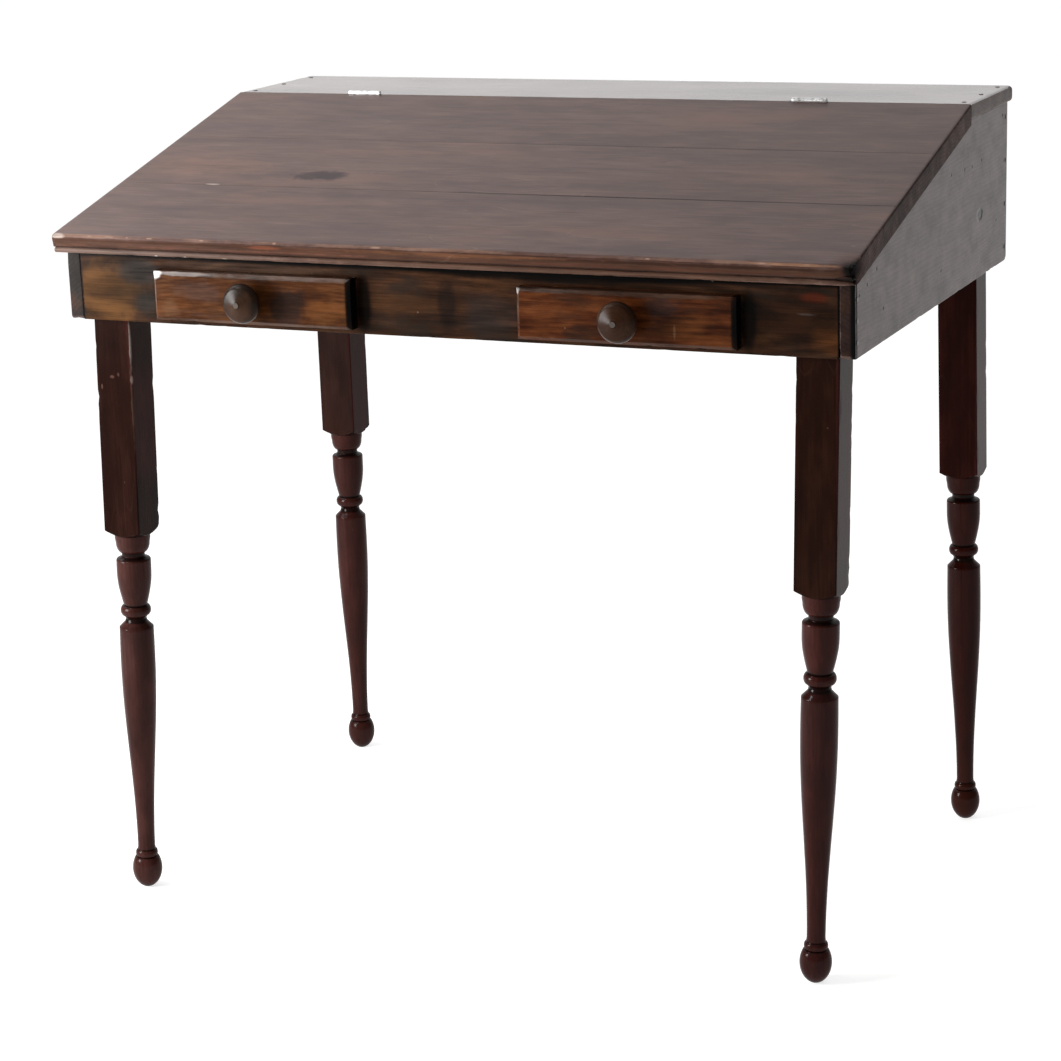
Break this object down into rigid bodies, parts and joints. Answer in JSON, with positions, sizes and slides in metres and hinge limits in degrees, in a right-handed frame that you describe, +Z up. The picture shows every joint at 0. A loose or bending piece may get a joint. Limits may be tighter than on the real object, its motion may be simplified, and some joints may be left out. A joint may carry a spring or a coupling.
{
  "type": "slant top desk",
  "caption": "Wooden writing desk with a hinged sloping lid over a storage compartment, a narrow top shelf, lipped drawers with round knobs, and legs with square blocks and turned shafts.",
  "frame": {"origin": "on the floor, under the middle of the desk's bounding box", "axes": "+X to the right of the sitter facing the desk, +Y from the drawers to the back, +Z up"},
  "size_m": [0.89, 0.625, 0.8678],
  "materials": {
    "panel_wood": "stained pine, worn satin, dark brown",
    "apron_wood": "stained pine, worn through to orange brown in patches",
    "shelf_wood": "greyish brown satin with a pale sheen",
    "lid_wood": "greyish brown satin, reddish in places, scratched",
    "leg_wood": "dark mahogany stain, glossy on the turned part",
    "drawer_front_wood": "warm red brown, streaky grain, satin",
    "knob_wood": "dark grey brown, turned, satin",
    "inner_wood": "bare pine, aged and dry",
    "nail_iron": "dark oxidised iron",
    "screw_steel": "dulled steel",
    "hinge_steel": "bright steel",
    "bolt_steel": "brownish steel"
  },
  "bodies": {
    "case": {"left_side_panel": "panel_wood", "right_side_panel": "panel_wood", "back_panel": "panel_wood", "front_apron": "apron_wood", "top_shelf": "shelf_wood", "floor_front_board": "inner_wood", "floor_middle_board": "inner_wood", "floor_back_board": "inner_wood", "floor_cleats": "inner_wood", "front_left_leg": "leg_wood", "front_right_leg": "leg_wood", "back_left_leg": "leg_wood", "back_right_leg": "leg_wood", "drawer_runners": "inner_wood", "drawer_guides": "inner_wood", "case_nails": "nail_iron", "shelf_nails": "nail_iron", "leg_screws": "screw_steel", "left_hinge_shelf_leaf": "hinge_steel", "right_hinge_shelf_leaf": "hinge_steel", "left_hinge_pin": "hinge_steel", "right_hinge_pin": "hinge_steel", "hinge_shelf_screws": "hinge_steel"},
    "lid": {"lid_front_board": "lid_wood", "lid_middle_board": "lid_wood", "lid_back_board": "lid_wood", "left_lid_batten": "inner_wood", "right_lid_batten": "inner_wood", "batten_screws": "screw_steel", "left_hinge_lid_leaf": "hinge_steel", "right_hinge_lid_leaf": "hinge_steel", "hinge_lid_screws": "hinge_steel"},
    "left_drawer": {"left_drawer_front": "drawer_front_wood", "left_drawer_left_side": "inner_wood", "left_drawer_right_side": "inner_wood", "left_drawer_back": "inner_wood", "left_drawer_bottom": "inner_wood", "left_drawer_knob": "knob_wood", "left_drawer_knob_bolt": "bolt_steel", "left_drawer_nails": "nail_iron"},
    "right_drawer": {"right_drawer_front": "drawer_front_wood", "right_drawer_left_side": "inner_wood", "right_drawer_right_side": "inner_wood", "right_drawer_back": "inner_wood", "right_drawer_bottom": "inner_wood", "right_drawer_knob": "knob_wood", "right_drawer_knob_bolt": "bolt_steel", "right_drawer_nails": "nail_iron"}
  },
  "joints": [
    {"name": "lid_hinge", "type": "hinge", "parent": "case", "child": "lid", "pos_m": [0, 0.1382, 0.865], "axis": [-1, 0, 0], "range_deg": [0, 110]},
    {"name": "left_drawer_slide", "type": "slide", "parent": "case", "child": "left_drawer", "axis": [0, -1, 0], "range_m": [0, 0.25]},
    {"name": "right_drawer_slide", "type": "slide", "parent": "case", "child": "right_drawer", "axis": [0, -1, 0], "range_m": [0, 0.25]}
  ]
}
